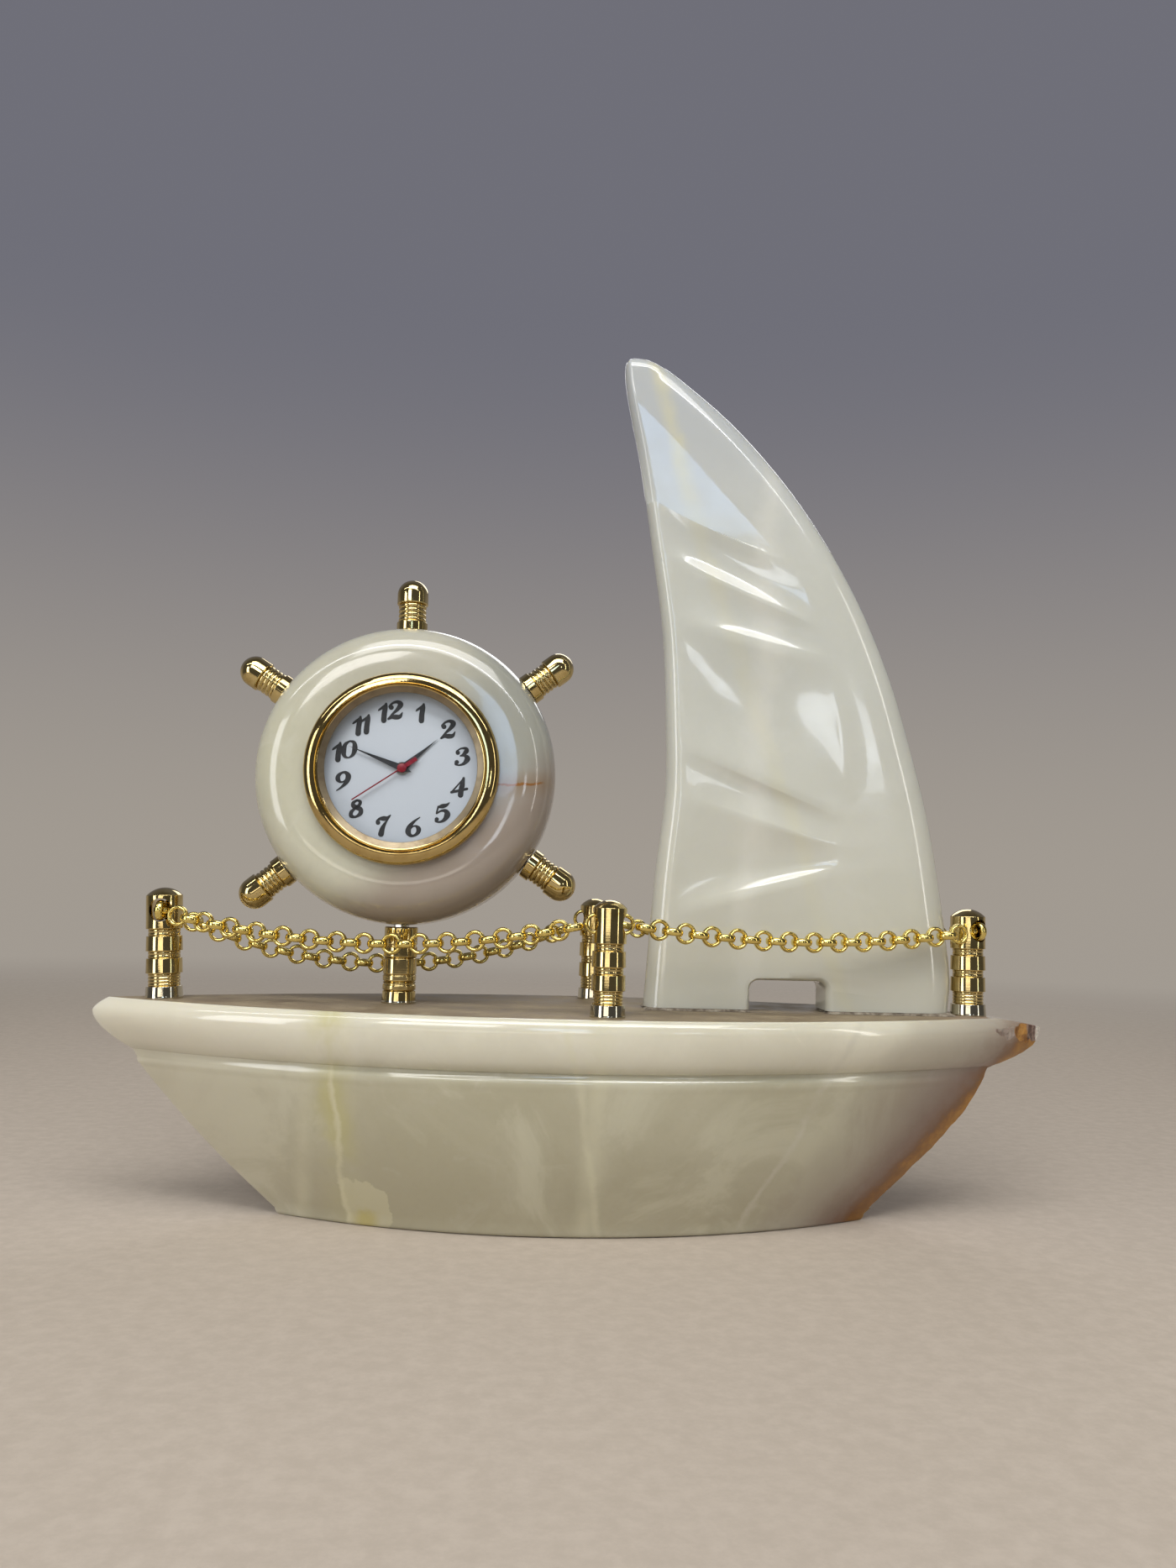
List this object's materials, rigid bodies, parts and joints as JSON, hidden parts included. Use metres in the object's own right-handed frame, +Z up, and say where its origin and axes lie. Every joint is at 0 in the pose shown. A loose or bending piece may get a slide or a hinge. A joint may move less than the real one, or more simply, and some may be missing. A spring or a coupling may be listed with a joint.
{
  "type": "desk clock",
  "caption": "Sailing-boat desk clock of carved onyx: hull with a carved sail, a quartz clock in a ship's wheel on a brass stem, and a chain rail on turned brass posts.",
  "frame": {"origin": "on the table under the middle of the hull", "axes": "+X along the hull from bow to stern, +Z up, and the dial faces -Y, the port side"},
  "size_m": [0.1871, 0.053, 0.1733],
  "materials": {
    "onyx": "polished banded onyx marble",
    "brass": "polished",
    "chain": "bright gold plate",
    "cement": "rough",
    "steel": "satin",
    "crystal": "clear",
    "dial": "printed card, matt white",
    "black_paint": "black",
    "red_paint": "dark red",
    "plastic": "moulded",
    "rubber": "matt"
  },
  "bodies": {
    "boat": {"hull": "onyx", "sail": "onyx", "wheel_ring": "onyx", "cement_fore": "cement", "cement_aft": "cement", "stem_base": "brass", "stem_neck": "brass", "handle_top": "brass", "handle_aft_upper": "brass", "handle_aft_lower": "brass", "handle_bow_lower": "brass", "handle_bow_upper": "brass", "bow_post": "brass", "stern_post": "brass", "port_post": "brass", "starboard_post": "brass", "chain_in_bow_post": "chain", "chain_in_stern_post": "chain", "chain_in_port_post": "chain", "chain_in_starboard_post": "chain", "stem_rod": "steel", "handle_stud_top": "steel", "handle_stud_aft_upper": "steel", "handle_stud_aft_lower": "steel", "handle_stud_bow_lower": "steel", "handle_stud_bow_upper": "steel", "bow_post_stud": "steel", "stern_post_stud": "steel", "port_post_stud": "steel", "starboard_post_stud": "steel"},
    "grip": {"grip_ring": "rubber"},
    "insert": {"bezel": "brass", "crystal": "crystal", "dial": "dial", "insert_case": "brass", "movement_holder": "plastic", "movement": "plastic", "battery": "steel"},
    "second_hand": {"second_hand": "red_paint"},
    "minute_hand": {"minute_hand": "black_paint"},
    "hour_hand": {"hour_hand": "black_paint"},
    "setting_stem": {"setting_stem": "steel"},
    "setting_crown": {"setting_crown": "brass"},
    "case_back": {"case_back": "steel"},
    "chain_port_bow": {"chain_port_bow": "chain"},
    "chain_starboard_bow": {"chain_starboard_bow": "chain"},
    "chain_port_stern": {"chain_port_stern": "chain"},
    "chain_starboard_stern": {"chain_starboard_stern": "chain"}
  },
  "joints": [
    {"name": "insert_turn", "type": "hinge", "parent": "boat", "child": "grip", "pos_m": [-0.0354, 0, 0.0848], "axis": [-0.0296, -0.9975, 0.0645], "continuous": true},
    {"name": "insert_pull", "type": "slide", "parent": "grip", "child": "insert", "axis": [-0.0296, -0.9975, 0.0645], "range_m": [0, 0.02]},
    {"name": "second_turn", "type": "hinge", "parent": "insert", "child": "second_hand", "pos_m": [-0.0354, 0, 0.0848], "axis": [0.0296, 0.9975, -0.0645], "continuous": true},
    {"name": "minute_turn", "type": "hinge", "parent": "insert", "child": "minute_hand", "pos_m": [-0.0354, 0, 0.0848], "axis": [0.0296, 0.9975, -0.0645], "continuous": true},
    {"name": "hour_turn", "type": "hinge", "parent": "insert", "child": "hour_hand", "pos_m": [-0.0354, 0, 0.0848], "axis": [0.0296, 0.9975, -0.0645], "continuous": true},
    {"name": "crown_pull", "type": "slide", "parent": "insert", "child": "setting_stem", "axis": [0.972, -0.0137, 0.2347], "range_m": [0, 0.001]},
    {"name": "crown_turn", "type": "hinge", "parent": "setting_stem", "child": "setting_crown", "pos_m": [-0.03557, -0.00559, 0.08516], "axis": [0.972, -0.0137, 0.2347], "continuous": true},
    {"name": "case_back_off", "type": "slide", "parent": "insert", "child": "case_back", "axis": [0.0296, 0.9975, -0.0645], "range_m": [0, 0.008]},
    {"name": "port_bow_swing", "type": "hinge", "parent": "boat", "child": "chain_port_bow", "pos_m": [-0.07828, -0.00563, 0.05658], "axis": [0.9844, -0.1757, 0.0003], "range_deg": [-80, 30]},
    {"name": "starboard_bow_swing", "type": "hinge", "parent": "boat", "child": "chain_starboard_bow", "pos_m": [-0.07828, 0.00563, 0.05538], "axis": [0.9844, 0.1757, 0.0003], "range_deg": [-30, 80]},
    {"name": "port_stern_swing", "type": "hinge", "parent": "boat", "child": "chain_port_stern", "pos_m": [0.0754, -0.00563, 0.0568], "axis": [0.9791, 0.2036, 0], "range_deg": [-80, 5]},
    {"name": "starboard_stern_swing", "type": "hinge", "parent": "boat", "child": "chain_starboard_stern", "pos_m": [0.0754, 0.00563, 0.0564], "axis": [0.9791, -0.2036, 0], "range_deg": [-5, 80]}
  ],
  "couplings": [
    {"joint": "minute_turn", "follows": "second_turn", "ratio": 0.016667},
    {"joint": "hour_turn", "follows": "second_turn", "ratio": 0.0013889}
  ]
}
